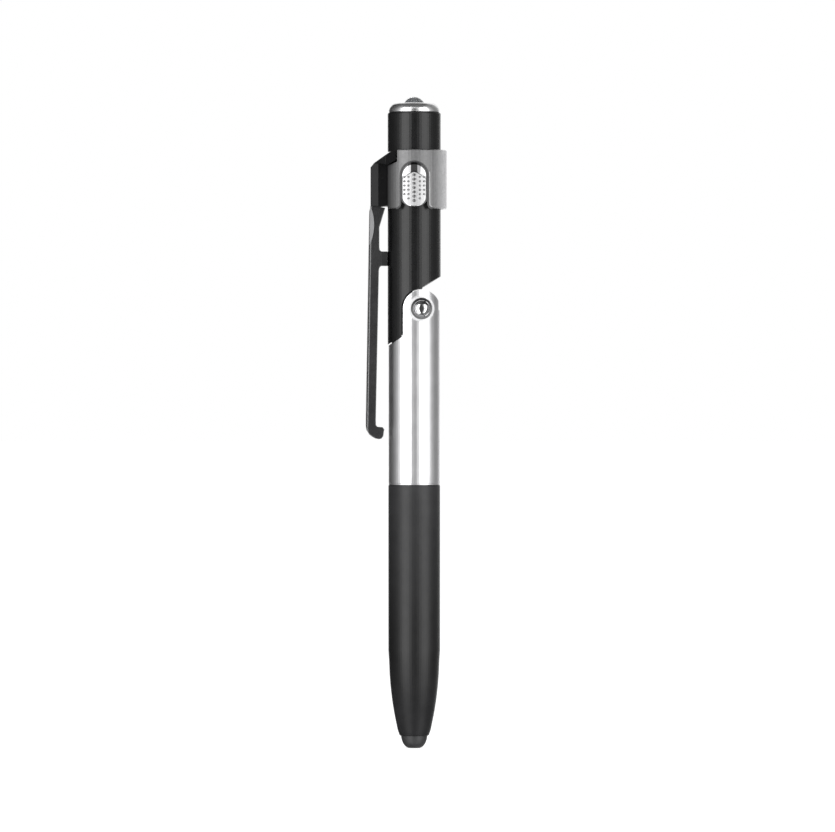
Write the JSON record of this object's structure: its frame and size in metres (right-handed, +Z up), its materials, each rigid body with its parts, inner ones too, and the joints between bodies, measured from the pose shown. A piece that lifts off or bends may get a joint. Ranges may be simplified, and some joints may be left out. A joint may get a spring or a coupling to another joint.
{
  "type": "multi tool pen",
  "caption": "Folding tool pen with a twist ball point in a stylus tip, a hinged barrel that makes a phone stand, a sprung clip and a torch with a slide switch.",
  "frame": {"origin": "centre of the stylus tip's lower end, on the pen's axis", "axes": "+Z up along the pen to the torch, -Y towards the slide switch, -X towards the clip; the upper barrel folds to +X"},
  "size_m": [0.018, 0.015, 0.145],
  "materials": {
    "silver_polish": "bright polished silver",
    "steel": "polished steel",
    "brass": "plain brass",
    "grip_soft_touch": "matte soft touch",
    "stylus_rubber": "matte rubber",
    "black_satin": "satin black",
    "white_plastic": "plain white plastic",
    "spring_steel": "spring wire",
    "refill_plastic": "dark plastic",
    "cell_steel": "bright cell can",
    "circuit_board_green": "green board",
    "led_clear": "clear resin",
    "chrome": "chrome",
    "collar_grey": "satin grey",
    "clip_black": "semi gloss black"
  },
  "bodies": {
    "lower_barrel": {"silver_barrel": "silver_polish", "hinge_pin": "steel", "cam_sleeve": "brass"},
    "grip": {"grip_shell": "grip_soft_touch", "stylus_tip": "stylus_rubber", "grip_insert": "black_satin", "twist_rotor": "white_plastic", "refill_spring": "spring_steel"},
    "refill": {"refill_tip": "steel", "refill_tube": "refill_plastic", "cam_follower": "white_plastic"},
    "upper_barrel": {"upper_barrel": "black_satin", "battery_spring": "spring_steel", "cell_lower": "cell_steel", "cell_middle": "cell_steel", "cell_upper": "cell_steel", "contact_plate": "brass", "circuit_board": "circuit_board_green", "led_lead_left": "steel", "led_lead_right": "steel", "led_holder": "white_plastic", "led": "led_clear", "led_bezel": "chrome", "end_cap": "black_satin", "clip_collar": "collar_grey", "clip_base": "clip_black", "clip_pin": "steel"},
    "clip": {"clip_arm": "clip_black", "clip_spring": "spring_steel"},
    "slide_switch": {"slide_button": "chrome", "slider_stem": "white_plastic", "slider_contact": "brass"}
  },
  "joints": [
    {"name": "grip_twist", "type": "hinge", "parent": "lower_barrel", "child": "grip", "pos_m": [0, 0, 0.0589], "axis": [0, 0, 1], "range_deg": [0, 180]},
    {"name": "refill_slide", "type": "slide", "parent": "grip", "child": "refill", "axis": [0, 0, -1], "range_m": [0, 0.004], "deforming": ["refill_spring"]},
    {"name": "barrel_fold", "type": "hinge", "parent": "lower_barrel", "child": "upper_barrel", "pos_m": [0.00165, 0, 0.0978], "axis": [0, 1, 0], "range_deg": [0, 110]},
    {"name": "clip_hinge", "type": "hinge", "parent": "upper_barrel", "child": "clip", "pos_m": [-0.0082, 0, 0.126], "axis": [0, 1, 0], "range_deg": [0, 7], "stiffness_Nm_per_rad": 0.6, "springref_deg": -2.86, "deforming": ["clip_spring"]},
    {"name": "light_switch", "type": "slide", "parent": "upper_barrel", "child": "slide_switch", "axis": [0, 0, -1], "range_m": [0, 0.0025]}
  ],
  "couplings": [
    {"joint": "refill_slide", "follows": "grip_twist", "m_per_rad": 0.0012732}
  ]
}
